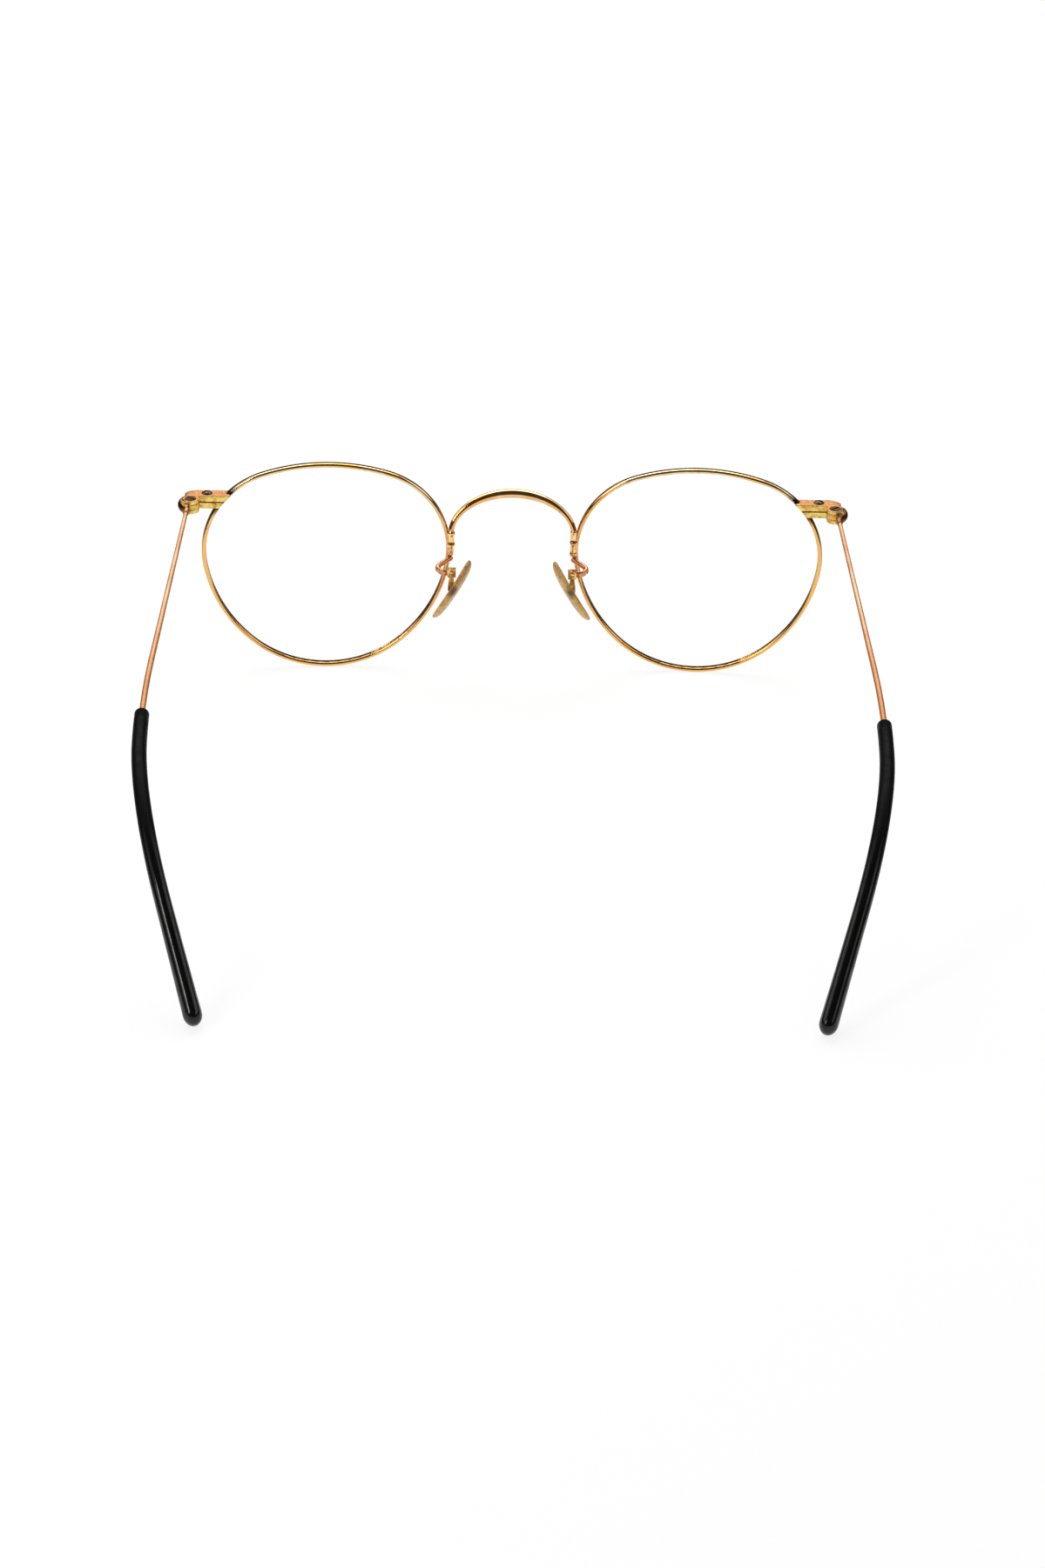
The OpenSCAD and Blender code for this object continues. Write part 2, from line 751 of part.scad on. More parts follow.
// Pad arm: round wire from the rim, then a flat band that curls back to the box
module pad_arm() {
  // Step where the round wire turns into the band
  step = 0.1;
  room = box_size + 2 * fit * [1, 1, 1];
  color("orange")
    difference() {
      union() {
        multmatrix(arm_frame)
          sphere(d = arm_d + 2 * collar_grow, $fn = 24);
        straight_wire(arm_frame, arm_run, arm_d, arm_d);
        collar(arm_curl, arm_d);
        arc_wire(arm_curl, arm_bend_r, arm_round_a)
          circle(d = arm_d, $fn = 24);
        multmatrix(arm_band)
          translate([0, 0, -2 * nick])
            cylinder(d = arm_d + step, h = 2 * step, $fn = 24);
        arc_wire(arm_band, arm_bend_r, arm_band_a)
          band_profile();
      }
      corner_cutter(ARCS[1]);
      translate(box_c)
        cube(room, center = true);
      translate(box_c - [through / 2, 0, 0])
        cube([through, 2 * room[1], 2 * room[2]], center = true);
    }
}

module band_profile() {
  band_t = 0.62;
  band_h = 1.25;
  round_gap = band_h - band_t;
  square([band_t, round_gap], center = true);
  for (side = [-1, 1])
    translate([0, side * round_gap / 2])
      circle(d = band_t);
}

// Box that holds the pad's tang: closed above and towards the arm
module pad_box() {
  wall = 0.16;
  color("gold")
    translate(box_c)
      difference() {
        cube(box_size, center = true);
        translate([-box_size[0] / 2 - past, -slot_w / 2, -box_size[2] / 2 - past])
          cube([box_size[0] + past - wall, slot_w, box_size[2] + past - wall]);
        rotate([90, 0, 0])
          cylinder(d = pin_d + 2 * fit, h = through, center = true);
      }
}

module pad_screw() {
  head = 0.25;
  slot_t = 0.18;
  slot_depth = 0.12;
  color("dimgray")
    translate(box_c)
      rotate([-90, 0, 0])
        difference() {
          union() {
            translate([0, 0, -box_size[1] / 2])
              cylinder(d = pin_d, h = box_size[1]);
            translate([0, 0, box_size[1] / 2 + fit / 2])
              cylinder(d = pin_head_d, h = head);
            translate([0, 0, box_size[1] / 2])
              cylinder(d = pin_d, h = head);
          }
          translate([0, 0, box_size[1] / 2 + head - slot_depth + through / 2])
            cube([through, slot_t, through], center = true);
        }
}

// Pad mount: a tang on the pin and a disc that sits in the back of the pad
module pad_mount() {
  disc_back = at(pad_frame, [pad_t / 2 - disc_sink + disc_t / 2, 0, mount_rise]);
  reach = disc_back - box_c;
  tang_l = norm([reach[0], reach[2]]);
  lean = atan2(reach[0], -reach[2]);
  tang_w = 2 * tang_r * 0.8;
  plate_w = 1.15;
  plate_top = tang_l * 0.7;
  neck_end = box_size[2] / 2;
  // One side of the tang, as half width and distance below the pin
  tang_side = [[tang_w / 2, 0], [tang_w / 2, neck_end], [plate_w / 2, plate_top], [plate_w / 2, tang_l]];
  color("burlywood")
    difference() {
      union() {
        translate(box_c)
          rotate([90, 0, 0])
            cylinder(r = tang_r, h = tang_t, center = true);
        translate(box_c)
          rotate([0, -lean, 0])
            rotate([90, 0, 0])
              linear_extrude(height = tang_t, center = true)
                polygon([for (side = [-1, 1], corner = side < 0 ? tang_side : reversed(tang_side))
                  [side * corner[0], -corner[1]]]);
        multmatrix(pad_frame)
          translate([pad_t / 2 - disc_sink, 0, mount_rise])
            rotate([0, 90, 0])
              cylinder(d = disc_d, h = disc_t);
      }
      translate(box_c)
        rotate([90, 0, 0])
          cylinder(d = pin_d + 2 * running, h = through, center = true);
      multmatrix(pad_frame)
        translate([pad_t / 2 - disc_sink - pad_t, -pad_w / 2, -pad_l / 2])
          cube([pad_t, pad_w, pad_l]);
    }
}

// Ring of the nose pad at depth x: an egg outline, bowed so that the bearing side is convex
function pad_ring(x, shrink, n) =
  [for (k = [0:n - 1])
    let (a = k * 360 / n)
    let (z = (pad_l / 2 - shrink) * sin(a), y = (pad_w / 2 - shrink) * cos(a) * (1 - egg * sin(a)))
    let (bow = long_bow * pow(2 * z / pad_l, 2) + cross_bow * pow(2 * y / pad_w, 2))
    at(pad_frame, [x + bow, y, z])];

module nose_pad() {
  n = 32;
  half = pad_t / 2;
  // Round bearing edge and a flatter back edge: depth and inset, each a quarter of an ellipse
  front_edge = [0.7, 1.9];
  back_edge = [0.4, 1.6];
  flat_inset = 2.2;
  profile = concat(
    [[-half, flat_inset]],
    [for (a = [18:18:90]) [-half + front_edge[0] * (1 - cos(a)), front_edge[1] * (1 - sin(a))]],
    [for (a = [0:22.5:67.5]) [half - back_edge[0] * (1 - sin(a)), back_edge[1] * (1 - cos(a))]],
    [[half, flat_inset]]
  );
  color("tan", 0.85)
    difference() {
      skin([for (p = profile) pad_ring(p[0], p[1], n)]);
      multmatrix(pad_frame)
        translate([half - disc_sink - fit, 0, mount_rise])
          rotate([0, 90, 0])
            cylinder(d = disc_d + 2 * fit, h = through);
    }
}

left() eyewire();  // left_eyewire
right() eyewire();  // right_eyewire
left() lens();  // left_lens
right() lens();  // right_lens
left() bridge();
left() end_piece_upper();  // left_end_piece_upper
right() end_piece_upper();  // right_end_piece_upper
left() end_piece_lower();  // left_end_piece_lower
right() end_piece_lower();  // right_end_piece_lower
left() closing_screw();  // left_closing_screw
right() closing_screw();  // right_closing_screw
left() hinge_screw();  // left_hinge_screw
right() hinge_screw();  // right_hinge_screw
left() temple_hinge();  // left_temple_hinge
right() temple_hinge();  // right_temple_hinge
left() temple_wire();  // left_temple_wire
right() temple_wire();  // right_temple_wire
left() temple_sleeve();  // left_temple_sleeve
right() temple_sleeve();  // right_temple_sleeve
left() pad_arm();  // left_pad_arm
right() pad_arm();  // right_pad_arm
left() pad_box();  // left_pad_box
right() pad_box();  // right_pad_box
left() pad_screw();  // left_pad_screw
right() pad_screw();  // right_pad_screw
left() pad_mount();  // left_pad_mount
right() pad_mount();  // right_pad_mount
left() nose_pad();  // left_nose_pad
right() nose_pad();  // right_nose_pad
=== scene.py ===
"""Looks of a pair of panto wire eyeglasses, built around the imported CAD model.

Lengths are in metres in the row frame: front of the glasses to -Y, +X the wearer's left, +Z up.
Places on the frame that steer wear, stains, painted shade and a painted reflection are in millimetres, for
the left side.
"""

import math

import bmesh
import bpy
from mathutils import Matrix, Vector


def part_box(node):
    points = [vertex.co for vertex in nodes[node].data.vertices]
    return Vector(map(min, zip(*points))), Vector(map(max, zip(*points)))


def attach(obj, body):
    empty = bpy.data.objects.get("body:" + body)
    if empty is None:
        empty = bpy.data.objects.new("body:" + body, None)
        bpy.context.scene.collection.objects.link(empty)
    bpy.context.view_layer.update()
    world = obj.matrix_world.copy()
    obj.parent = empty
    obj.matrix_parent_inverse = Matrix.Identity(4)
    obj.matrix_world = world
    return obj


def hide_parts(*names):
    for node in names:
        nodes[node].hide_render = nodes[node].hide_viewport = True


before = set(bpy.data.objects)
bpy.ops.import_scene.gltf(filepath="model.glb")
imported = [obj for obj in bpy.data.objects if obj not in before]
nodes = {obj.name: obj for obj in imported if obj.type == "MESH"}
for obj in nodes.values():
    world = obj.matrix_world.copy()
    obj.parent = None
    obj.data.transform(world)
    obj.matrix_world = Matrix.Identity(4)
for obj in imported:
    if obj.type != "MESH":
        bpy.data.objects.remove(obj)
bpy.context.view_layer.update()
MM = 0.001
SIDES = {"left": 1, "right": -1}
UP = Vector((0, 0, 1))

# Camera: a point on its line of sight, and how it looks at it, in millimetres and degrees
IMAGE_H = 1800
FOCAL_PX = 4636.3
SENSOR_MM = 36
AIM_MM = (-2.76, -63.91, -23.79)
AIM_DISTANCE_MM = 748.0
LOOK_DOWN_DEG = 27.30
LOOK_ASIDE_DEG = -0.782
ROLL_DEG = 1.233


def make_camera():
    """The camera stands behind the glasses, above them, and looks down through the rims."""
    down, aside, roll = (math.radians(angle) for angle in (LOOK_DOWN_DEG, LOOK_ASIDE_DEG, ROLL_DEG))
    level = math.cos(down)
    forward = Vector((math.sin(aside) * level, -math.cos(aside) * level, -math.sin(down)))
    level_right = forward.cross(UP).normalized()
    level_up = level_right.cross(forward)
    right = level_right * math.cos(roll) + level_up * math.sin(roll)
    up = level_up * math.cos(roll) - level_right * math.sin(roll)
    camera = bpy.data.objects.new("camera", bpy.data.cameras.new("camera"))
    camera.data.sensor_width = SENSOR_MM
    camera.data.lens = FOCAL_PX / IMAGE_H * SENSOR_MM
    turn = Matrix((right, up, -forward)).transposed().to_4x4()
    place = Vector(AIM_MM) * MM - forward * AIM_DISTANCE_MM * MM
    camera.matrix_world = Matrix.Translation(place) @ turn
    bpy.context.scene.collection.objects.link(camera)
    bpy.context.scene.camera = camera


# Node building


class Nodes:
    """Short calls for building a tree of shader nodes."""

    def __init__(self, tree):
        self.tree = tree
        self.tree.nodes.clear()

    def node(self, kind, inputs=None, **settings):
        """A new node with its settings, and with its inputs linked or set."""
        made = self.tree.nodes.new(kind)
        for key, value in settings.items():
            setattr(made, key, value)
        for socket, value in (inputs or {}).items():
            self.feed(made.inputs[socket], value)
        return made

    def feed(self, socket, value):
        if isinstance(value, bpy.types.NodeSocket):
            self.tree.links.new(value, socket)
        else:
            socket.default_value = value

    def math(self, operation, a, b=0.0):
        return self.node("ShaderNodeMath", {0: a, 1: b}, operation=operation).outputs[0]

    def both(self, a, b):
        """The share of a surface or a direction where two shares hold together."""
        return self.math("MULTIPLY", a, b)

    def length(self, vector):
        return self.node("ShaderNodeVectorMath", {0: vector}, operation="LENGTH").outputs["Value"]

    def part(self, vector, axis):
        return self.node("ShaderNodeSeparateXYZ", {0: vector}).outputs[axis]

    def ramp(self, value, low, high, start=0.0, end=1.0):
        """From start, where the value is at low, to end, where it is at high, and level beyond them."""
        inputs = {"Value": value, "From Min": low, "From Max": high, "To Min": start, "To Max": end}
        return self.node("ShaderNodeMapRange", inputs, clamp=True).outputs[0]

    def mix(self, share, a, b):
        """Colour a where the share is 0, colour b where it is 1."""
        return self.node("ShaderNodeMix", {0: share, 6: a, 7: b}, data_type="RGBA").outputs[2]


class Shade(Nodes):
    """Short calls for building one material."""

    def __init__(self, name):
        self.material = bpy.data.materials.new(name)
        self.material.use_nodes = True
        super().__init__(self.material.node_tree)
        self.output = self.node("ShaderNodeOutputMaterial")

    def place(self):
        return self.node("ShaderNodeTexCoord").outputs["Object"]

    def along(self, axis):
        """One object coordinate in millimetres; that of X is the same on both sides."""
        value = self.math("MULTIPLY", self.part(self.place(), axis), 1 / MM)
        return self.math("ABSOLUTE", value) if axis == "X" else value

    def near(self, point_mm, inner_mm, outer_mm):
        """1 within a distance of a point given for the left side, 0 beyond another; same on the right."""
        offsets = [self.math("SUBTRACT", self.along(axis), at) for axis, at in zip("XYZ", point_mm)]
        offset = self.node("ShaderNodeCombineXYZ", dict(enumerate(offsets))).outputs[0]
        return self.ramp(self.length(offset), inner_mm, outer_mm, start=1, end=0)

    def noise(self, size_mm, detail=4, rough=0.55):
        inputs = {"Vector": self.place(), "Scale": 1 / (size_mm * MM), "Detail": detail, "Roughness": rough}
        return self.node("ShaderNodeTexNoise", inputs).outputs["Fac"]

    def spots(self, size_mm, low, high, start=0.0, end=1.0, **grain):
        """Soft-edged spots: start where the noise is under low, end where it is over high."""
        return self.ramp(self.noise(size_mm, **grain), low, high, start, end)

    def shade_in_gaps(self, reach_mm, low, high):
        """Painted shade: 1 deep in gaps and corners, 0 on open surfaces."""
        open_share = self.node("ShaderNodeAmbientOcclusion", {"Distance": reach_mm * MM}, samples=8)
        return self.ramp(open_share.outputs["AO"], low, high, start=1, end=0)

    def bump(self, height, depth_mm, round_mm=0):
        """Normals of a rough surface whose edges look rounded to a radius."""
        inputs = {"Height": height, "Distance": depth_mm * MM}
        if round_mm:
            inputs["Normal"] = self.node("ShaderNodeBevel", {"Radius": round_mm * MM}, samples=6).outputs[0]
        return self.node("ShaderNodeBump", inputs).outputs[0]

    def show(self, shader):
        self.tree.links.new(shader.outputs[0], self.output.inputs["Surface"])
        return self.material

    def surface(self, **sockets):
        named = {key.replace("_", " "): value for key, value in sockets.items()}
        return self.show(self.node("ShaderNodeBsdfPrincipled", named))

    def metal(self, colour, roughness, normal):
        return self.surface(Base_Color=colour, Metallic=1.0, Roughness=roughness, Normal=normal)


def rgb(red, green, blue):
    """A colour as seen on screen, 0 to 255, as the linear colour that shaders take."""
    def linear(value):
        share = value / 255
        return share / 12.92 if share <= 0.04045 else ((share + 0.055) / 1.055) ** 2.4

    return (linear(red), linear(green), linear(blue), 1)


# Materials

GOLD = rgb(240, 182, 98)
PALE_GOLD = rgb(238, 210, 160)
COPPER = rgb(214, 140, 92)
BROWN = rgb(120, 76, 38)
# The dark colour of painted shade, in gaps and where the rim wire enters an end piece
PAINTED_SHADE = rgb(34, 22, 10)
WHITE = (1, 1, 1, 1)

# Stretches over which the finish and a painted highlight change, in millimetres
PALE_PLATE_AND_HIGHLIGHT_Z = (26, 35)
WORN_PLATE_Z = (30, 20)
BESIDE_NOSE_X = (19, 12.5)
TAN_WIRE_Y = (-30, 8)
POLISHED_SLEEVE_Y = (44, 54)

# How far a face looks up, as the Z part of its normal, where it counts as a worn top
TOP_FACE = (0.5, 0.85)

# Where the rim wire enters the end piece, a little in from the corner of the block's upper half; painted
# shade lies there on the wire
block_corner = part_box("left_end_piece_upper")[0]
WIRE_END = (block_corner.x / MM + 1.2, block_corner.y / MM + 1.6, block_corner.z / MM)
UNDER_BLOCK_Z = (WIRE_END[2] - 2, WIRE_END[2])

# From just inside the hinge screw outwards, where the hinge barrel gets a painted dark reflection
hinge_x = sum(corner.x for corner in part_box("left_hinge_screw")) / 2 / MM
HINGE_BARREL_X = (hinge_x - 0.4, hinge_x + 1.2)

# Half-way up the nose pad, on the edge away from the lenses
pad_low, pad_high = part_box("left_nose_pad")
PAD_BACK_EDGE = (
    (pad_low.x + pad_high.x) / 2 / MM - 0.5,
    pad_high.y / MM - 0.4,
    (pad_low.z + pad_high.z) / 2 / MM + 0.9,
)


def gold_wire():
    """Rim wire and bridge: worn gold plate, copper by the nose, painted shade where it enters an end piece.
    """
    s = Shade("gold_wire")
    # Paler gold in random patches, mostly on the upper wire: partly the plate's own tone, partly a painted
    # highlight
    pale = s.both(s.spots(6, 0.35, 0.55, detail=3), s.ramp(s.along("Z"), *PALE_PLATE_AND_HIGHLIGHT_Z, start=0.15))
    colour = s.mix(pale, GOLD, PALE_GOLD)
    beside_nose = s.ramp(s.along("X"), *BESIDE_NOSE_X, end=0.75)
    low_down = s.ramp(s.along("Z"), *WORN_PLATE_Z, start=0.55)
    worn = s.both(s.spots(2.2, 0.36, 0.6, detail=6, rough=0.7), s.both(beside_nose, low_down))
    colour = s.mix(worn, colour, COPPER)
    patches = s.spots(3.2, 0.56, 0.7, end=0.8, detail=6, rough=0.7)
    colour = s.mix(patches, colour, COPPER)
    specks = s.spots(0.8, 0.64, 0.76, end=0.7, detail=5, rough=0.65)
    colour = s.mix(specks, colour, BROWN)
    # Painted shade in patches where the rim wire enters an end piece, darkest level with the block and
    # browner below it
    under_block = s.ramp(s.along("Z"), *UNDER_BLOCK_Z, start=0.5, end=0)
    darkened_near_point = s.both(s.near(WIRE_END, inner_mm=2.2, outer_mm=4), s.spots(1.1, 0.3, 0.45))
    colour = s.mix(darkened_near_point, colour, s.mix(under_block, PAINTED_SHADE, BROWN))
    # Painted shade in narrow gaps and corners
    colour = s.mix(s.shade_in_gaps(0.12, 0.1, 0.35), colour, PAINTED_SHADE)
    roughness = s.spots(1.4, 0.35, 0.75, start=0.05, end=0.2, detail=5, rough=0.6)
    return s.metal(colour, roughness, s.bump(s.noise(0.7, detail=3, rough=0.5), depth_mm=0.004))


def rose_wire():
    """Temple wire: rose gold, turning to tan towards the sleeve, with dark worn marks."""
    s = Shade("rose_wire")
    pale_rose, rose = rgb(220, 176, 136), rgb(208, 154, 110)
    tan, red_brown = rgb(182, 120, 66), rgb(160, 98, 60)
    colour = s.mix(s.spots(8, 0.38, 0.62, detail=3), pale_rose, rose)
    colour = s.mix(s.ramp(s.along("Y"), *TAN_WIRE_Y, end=0.75), colour, tan)
    flecks = s.spots(0.8, 0.58, 0.74, end=0.45, detail=6, rough=0.7)
    colour = s.mix(flecks, colour, red_brown)
    marks = s.spots(3.2, 0.66, 0.74, end=0.8, detail=5, rough=0.7)
    colour = s.mix(marks, colour, BROWN)
    # Painted shade in gaps along the temple wire
    colour = s.mix(s.shade_in_gaps(0.35, 0.35, 0.8), colour, PAINTED_SHADE)
    roughness = s.spots(0.8, 0.3, 0.75, start=0.45, end=0.6, detail=5, rough=0.6)
    return s.metal(colour, roughness, s.bump(s.noise(0.15), depth_mm=0.01))


def block_metal():
    """End pieces and hinges: yellow gold, worn to rose on top, a painted dark reflection on the barrel,
    painted shade in gaps.
    """
    s = Shade("block_metal")
    yellow, amber = rgb(244, 216, 120), rgb(222, 170, 82)
    rose, tan = rgb(200, 134, 94), rgb(208, 152, 96)
    spot_brown, painted_reflection_brown = rgb(140, 84, 46), rgb(96, 60, 30)
    up = s.part(s.node("ShaderNodeNewGeometry").outputs["Normal"], "Z")
    colour = s.mix(s.spots(1.1, 0.42, 0.6, rough=0.6), yellow, amber)
    worn = s.both(s.ramp(up, *TOP_FACE), s.spots(0.9, 0.3, 0.5, start=0.35, detail=5, rough=0.65))
    colour = s.mix(worn, colour, s.mix(s.spots(0.7, 0.4, 0.6, detail=5), rose, tan))
    specks = s.spots(0.7, 0.52, 0.64, end=0.75, detail=6, rough=0.7)
    colour = s.mix(specks, colour, spot_brown)
    # Painted dark reflection: dark brown patches on the hinge barrel
    barrel = s.both(s.ramp(s.along("X"), *HINGE_BARREL_X), s.spots(1.2, 0.38, 0.54, detail=5))
    colour = s.mix(barrel, colour, painted_reflection_brown)
    # Painted shade in gaps and corners
    colour = s.mix(s.shade_in_gaps(0.4, 0.2, 0.55), colour, PAINTED_SHADE)
    polished = s.spots(0.5, 0.3, 0.7, start=0.16, end=0.3, detail=5, rough=0.6)
    roughness = s.math("ADD", polished, s.ramp(up, *TOP_FACE, end=0.2))
    return s.metal(colour, roughness, s.bump(s.noise(0.5, detail=5), depth_mm=0.03, round_mm=0.22))


def arm_metal(name, tone):
    """Pad arms, boxes and solder: soft worn metal of a tone, with copper and brown spots."""
    s = Shade(name)
    colour = s.mix(s.spots(0.9, 0.42, 0.66, rough=0.6), tone, COPPER)
    dark = s.spots(0.9, 0.58, 0.7, end=0.75, detail=5, rough=0.7)
    colour = s.mix(dark, colour, BROWN)
    # Painted shade in gaps and corners
    colour = s.mix(s.shade_in_gaps(0.4, 0.2, 0.55), colour, PAINTED_SHADE)
    roughness = s.spots(0.4, 0.3, 0.7, start=0.1, end=0.28, detail=5, rough=0.6)
    return s.metal(colour, roughness, s.bump(s.noise(0.8, detail=3), depth_mm=0.06, round_mm=0.15))


def screw_steel(name, tone, dull_tone, smooth):
    """Screws: bronzed or bare steel with painted shade round the head."""
    s = Shade(name)
    colour = s.mix(s.spots(0.35, 0.42, 0.62, detail=5, rough=0.6), tone, dull_tone)
    # Painted shade in the gap round the head
    colour = s.mix(s.shade_in_gaps(0.4, 0.3, 0.75), colour, PAINTED_SHADE)
    roughness = s.spots(0.3, 0.3, 0.7, start=smooth, end=2 * smooth, detail=5)
    return s.metal(colour, roughness, s.bump(s.noise(0.25, detail=5), depth_mm=0.02, round_mm=0.1))


def black_acetate():
    """Ear sleeves: black plastic, handled dull in front and still polished behind the ear."""
    s = Shade("black_acetate")
    behind_ear = s.ramp(s.along("Y"), *POLISHED_SLEEVE_Y)
    return s.surface(
        Base_Color=s.mix(s.spots(5, 0.35, 0.7), rgb(2, 2, 2), rgb(9, 8, 8)),
        Roughness=s.spots(1.6, 0.4, 0.7, start=0.4, end=0.6, detail=6, rough=0.65),
        Specular_IOR_Level=0.04,
        Coat_Weight=s.both(behind_ear, s.spots(2.5, 0.4, 0.65, start=0.8, end=0.5, detail=5)),
        Coat_Roughness=0.12,
        Coat_IOR=1.5,
        Normal=s.bump(s.noise(0.8, detail=5), depth_mm=0.005),
    )


def amber_pad():
    """Nose pads: clear plastic yellowed to tan, with brown streaks and a stain at the back edge."""
    s = Shade("amber_pad")
    amber, tan = rgb(238, 196, 116), rgb(204, 154, 78)
    streak_brown, stain_brown = rgb(146, 100, 46), rgb(88, 56, 18)
    colour = s.mix(s.spots(2.4, 0.38, 0.62), amber, tan)
    streaks = s.spots(0.7, 0.52, 0.66, end=0.65, detail=6, rough=0.7)
    colour = s.mix(streaks, colour, streak_brown)
    darkened_near_point = s.both(s.near(PAD_BACK_EDGE, inner_mm=0.3, outer_mm=1.6), s.spots(0.8, 0.25, 0.4))
    colour = s.mix(darkened_near_point, colour, stain_brown)
    return s.surface(
        Base_Color=colour,
        Roughness=s.spots(0.7, 0.3, 0.75, start=0.25, end=0.5, detail=5),
        IOR=1.45,
        Transmission_Weight=0.3,
        Normal=s.bump(s.noise(0.5, detail=5), depth_mm=0.03),
    )


def clear_lens():
    """Lenses: thin coated glass, see-through apart from its faint gloss and a few smears."""
    s = Shade("clear_lens")
    flat = s.node("ShaderNodeNewGeometry").outputs["True Normal"]
    smears = s.spots(5, 0.45, 0.75, end=0.12, detail=5, rough=0.6)
    gloss = s.node("ShaderNodeBsdfGlossy", {"Color": WHITE, "Roughness": smears, "Normal": flat})
    clear = s.node("ShaderNodeBsdfTransparent", {"Color": WHITE})
    bare_glass = s.node("ShaderNodeFresnel", {"IOR": 1.25, "Normal": flat})
    coated = s.math("MINIMUM", bare_glass.outputs[0], 0.04)
    return s.show(s.node("ShaderNodeMixShader", {0: coated, 1: clear.outputs[0], 2: gloss.outputs[0]}))


MATERIALS = {
    "rim_metal": gold_wire(),
    "end_piece_metal": block_metal(),
    "temple_metal": rose_wire(),
    "screw_metal": screw_steel("bronzed_screw", rgb(112, 92, 58), rgb(56, 44, 28), smooth=0.22),
    "lens_clear": clear_lens(),
    "sleeve_black": black_acetate(),
    "pad_tan": amber_pad(),
}
rose_arm = arm_metal("rose_arm", rgb(204, 148, 108))
gold_solder = arm_metal("gold_solder", rgb(255, 216, 150))
pale_brass = arm_metal("pale_brass", rgb(250, 222, 150))
bare_screw = screw_steel("bare_screw", rgb(82, 78, 52), rgb(46, 42, 28), smooth=0.14)
OWN_MATERIALS = {
    "pad_arm": rose_arm,
    "pad_box": pale_brass,
    "pad_screw": pale_brass,
    "pad_mount": pale_brass,
    "closing_screw": bare_screw,
}


def dress_nodes():
    """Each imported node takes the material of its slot, or one of its own where it looks unlike that."""
    for name, node in nodes.items():
        own = OWN_MATERIALS.get(name.split("_", 1)[-1])
        for slot in node.material_slots:
            slot.material = own or MATERIALS[slot.material.name]


# Pieces


def add_piece(name, verts, faces, material, body, levels):
    """A smooth-shaded piece on a CAD body, subdivided as many times as levels says."""
    mesh = bpy.data.meshes.new(name)
    mesh.from_pydata(verts, [], faces)
    mesh.materials.append(material)
    mesh.shade_smooth()
    piece = bpy.data.objects.new(name, mesh)
    bpy.context.scene.collection.objects.link(piece)
    if levels:
        smooth = piece.modifiers.new("smooth", "SUBSURF")
        smooth.levels = levels
        smooth.render_levels = levels
    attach(piece, body)
    return piece


def smooth_copy(node_name, body, slot, levels=0):
    """A smooth piece in the place of a node whose surface came as flat facets."""
    merge_mm = 0.002
    flat_angle, square_angle = math.radians(40), math.radians(60)
    shape = bmesh.new()
    shape.from_mesh(nodes[node_name].data)
    bmesh.ops.remove_doubles(shape, verts=shape.verts, dist=merge_mm * MM)
    bmesh.ops.join_triangles(
        shape, faces=shape.faces, angle_face_threshold=flat_angle, angle_shape_threshold=square_angle
    )
    shape.verts.index_update()
    verts = [vert.co.copy() for vert in shape.verts]
    faces = [[vert.index for vert in face.verts] for face in shape.faces]
    shape.free()
    piece = add_piece(node_name + "_smooth", verts, faces, MATERIALS[slot], body, levels)
    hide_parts(node_name)


def ring_skin(rings):
    """Points and faces of a closed skin over rings of points, with a fan of faces at each end."""
    around = len(rings[0])
    last = len(rings) - 1
    verts = [point for ring in rings for point in ring]
    faces = []
    for i in range(last):
        for j in range(around):
            a, b = i * around + j, i * around + (j + 1) % around
            faces.append((a, b, b + around, a + around))
    for end_ring, turn in ((0, -1), (last, 1)):
        verts.append(sum(rings[end_ring], Vector()) / around)
        for j in range(around):
            edge = (end_ring * around + j, end_ring * around + (j + 1) % around)[::turn]
            faces.append((*edge, len(verts) - 1))
    return verts, faces


def solder_joint(side):
    """Lumpy solder round a bridge foot, where it lies against the rim. Lengths in millimetres."""
    foot_r, coat = 0.53, 0.07
    below_foot, joint_h = 0.15, 5.75
    long_lump, short_lump, deepest_dent = 0.1, 0.06, -0.04
    waviness = 0.07
    around, steps = 14, 22
    bridge_low, bridge_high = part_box("bridge")
    sign = SIDES[side]
    foot = Vector((sign * (bridge_high.x / MM - foot_r), bridge_high.y / MM - foot_r, 0))
    bottom = bridge_low.z / MM - below_foot
    rings = []
    for i in range(steps + 1):
        t = i / steps
        lump = long_lump * math.sin(17 * t + sign) + short_lump * math.sin(31 * t + 2 * sign)
        blunt_end = math.sqrt(max(0.02, 1 - abs(2 * t - 1) ** 6))
        radius = (foot_r + coat + max(deepest_dent, lump)) * blunt_end
        ring = []
        for j in range(around):
            angle = 2 * math.pi * j / around
            reach = radius * (1 + waviness * math.sin(3 * angle + 9 * t))
            point = foot + Vector((reach * math.cos(angle), reach * math.sin(angle), bottom + joint_h * t))
            ring.append(point * MM)
        rings.append(ring)
    verts, faces = ring_skin(rings)
    add_piece(side + "_foot_solder", verts, faces, gold_solder, "front", levels=1)


# Studio

# The floor, by distance from its middle: white to the camera, and in gloss only near the object
FLOOR_HALF = 2.5
FLOOR_GLOW = 0.84
GLOW_TO_WHITE = (0.3, 1.5)
GLOSS_TO_DIM = (0.1, 0.2)
PAPER_GREY = (0.2, 0.21)
DIM_FLOOR = (0.08, 0.07, 0.06, 1)

# The room as the light on the object, and as its gloss: dim, with a bright tent in front and aside
ROOM_LIGHT = (0.32, 0.32, 0.32, 1)
DIM_ROOM = (0.06, 0.052, 0.045, 1)
TENT_WHITE = (1.25, 1.25, 1.25, 1)

# Edges of the tent, as parts of a direction of length 1
FRONT_TENT_Z = (0.4, 0.58)
FRONT_TENT_Y = (-0.05, -0.2)
SIDE_TENT_Z = (0.28, 0.36)
SIDE_TENT_X = (0.62, 0.75)


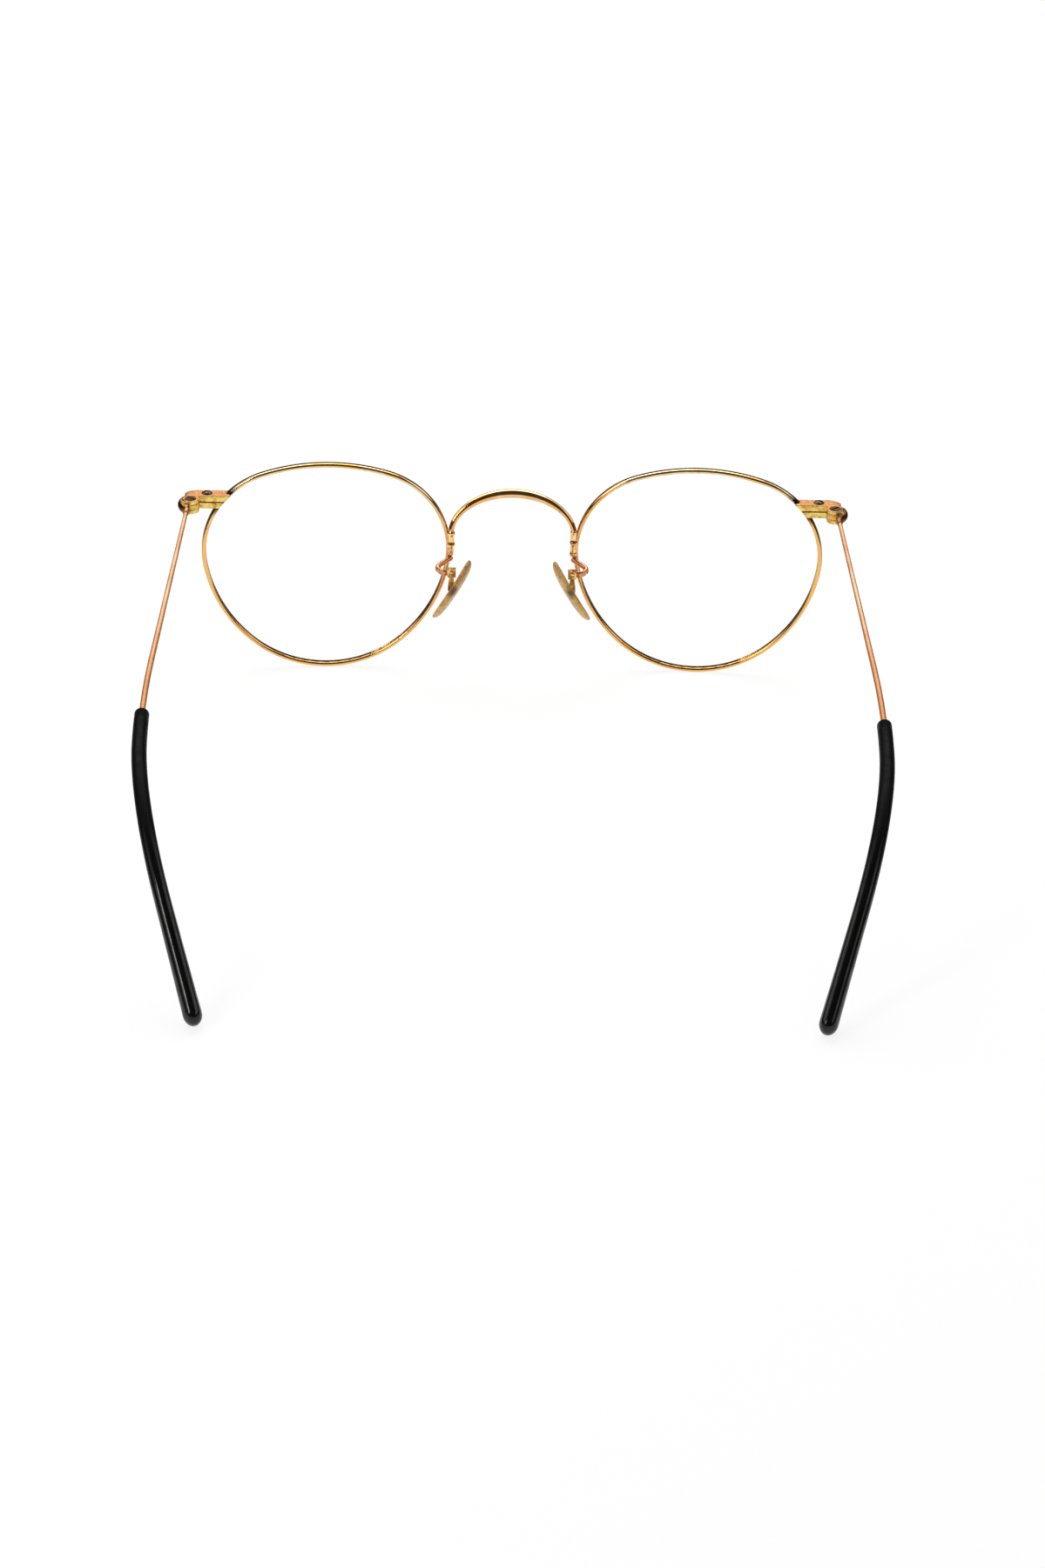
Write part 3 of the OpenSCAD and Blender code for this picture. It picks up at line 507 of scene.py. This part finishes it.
def floor_paper():
    """Paper that glows nearly white, so that shadows on it stay pale."""
    s = Shade("floor_paper")
    distance = s.length(s.place())
    is_gloss = s.node("ShaderNodeLightPath").outputs["Is Glossy Ray"]
    far_gloss = s.both(is_gloss, s.ramp(distance, *GLOSS_TO_DIM))
    paper = s.node("ShaderNodeBsdfDiffuse", {"Color": s.spots(0.6, 0.3, 0.7, *PAPER_GREY, detail=3)})
    glow = s.node("ShaderNodeEmission", {"Strength": s.ramp(distance, *GLOW_TO_WHITE, start=FLOOR_GLOW)})
    lit = s.node("ShaderNodeAddShader", {0: paper.outputs[0], 1: glow.outputs[0]})
    dim = s.node("ShaderNodeEmission", {"Color": DIM_FLOOR})
    return s.show(s.node("ShaderNodeMixShader", {0: far_gloss, 1: lit.outputs[0], 2: dim.outputs[0]}))


def make_floor():
    corners = [(x * FLOOR_HALF, y * FLOOR_HALF, 0) for x, y in ((-1, -1), (1, -1), (1, 1), (-1, 1))]
    mesh = bpy.data.meshes.new("floor")
    mesh.from_pydata(corners, [], [(0, 1, 2, 3)])
    mesh.materials.append(floor_paper())
    floor = bpy.data.objects.new("floor", mesh)
    bpy.context.scene.collection.objects.link(floor)


def make_world():
    """White behind the object, soft grey light on it, and a dim room with a tent in its gloss."""
    world = bpy.data.worlds.new("studio")
    world.use_nodes = True
    bpy.context.scene.world = world
    w = Nodes(world.node_tree)
    direction = w.node("ShaderNodeTexCoord").outputs["Generated"]
    up, back = w.part(direction, "Z"), w.part(direction, "Y")
    aside = w.math("ABSOLUTE", w.part(direction, "X"))
    front_tent = w.both(w.ramp(up, *FRONT_TENT_Z), w.ramp(back, *FRONT_TENT_Y))
    side_tent = w.both(w.ramp(up, *SIDE_TENT_Z), w.ramp(aside, *SIDE_TENT_X))
    gloss = w.mix(w.math("MAXIMUM", front_tent, side_tent), DIM_ROOM, TENT_WHITE)
    rays = w.node("ShaderNodeLightPath").outputs
    colour = w.mix(rays["Is Glossy Ray"], ROOM_LIGHT, gloss)
    colour = w.mix(rays["Is Transmission Ray"], colour, WHITE)
    colour = w.mix(rays["Is Camera Ray"], colour, WHITE)
    room = w.node("ShaderNodeBackground", {"Color": colour})
    w.node("ShaderNodeOutputWorld", {"Surface": room.outputs[0]})


def make_lamp(name, place, aim, width, height, radiance):
    """A soft box that looks as bright as radiance in a mirror."""
    data = bpy.data.lights.new(name, "AREA")
    data.shape = "RECTANGLE"
    data.size = width
    data.size_y = height
    data.energy = radiance * math.pi * width * height
    lamp = bpy.data.objects.new(name, data)
    lamp.location = place
    lamp.rotation_euler = (Vector(aim) - Vector(place)).to_track_quat("-Z", "Y").to_euler()
    bpy.context.scene.collection.objects.link(lamp)


# Making

make_camera()
bpy.context.scene.view_settings.view_transform = "Standard"
dress_nodes()
smooth_copy("bridge", "front", "rim_metal", levels=1)
for side in SIDES:
    smooth_copy(side + "_temple_sleeve", side + "_temple", "sleeve_black")
    smooth_copy(side + "_nose_pad", side + "_pad", "pad_tan")
    solder_joint(side)
make_floor()
make_world()
make_lamp("overhead", (0.08, -0.547, 0.751), aim=(0, -0.06, 0.03), width=1.05, height=0.72, radiance=2.4)
make_lamp("window", (0.55, 0.48, 0.46), aim=(0, 0, 0.03), width=0.12, height=0.4, radiance=10)
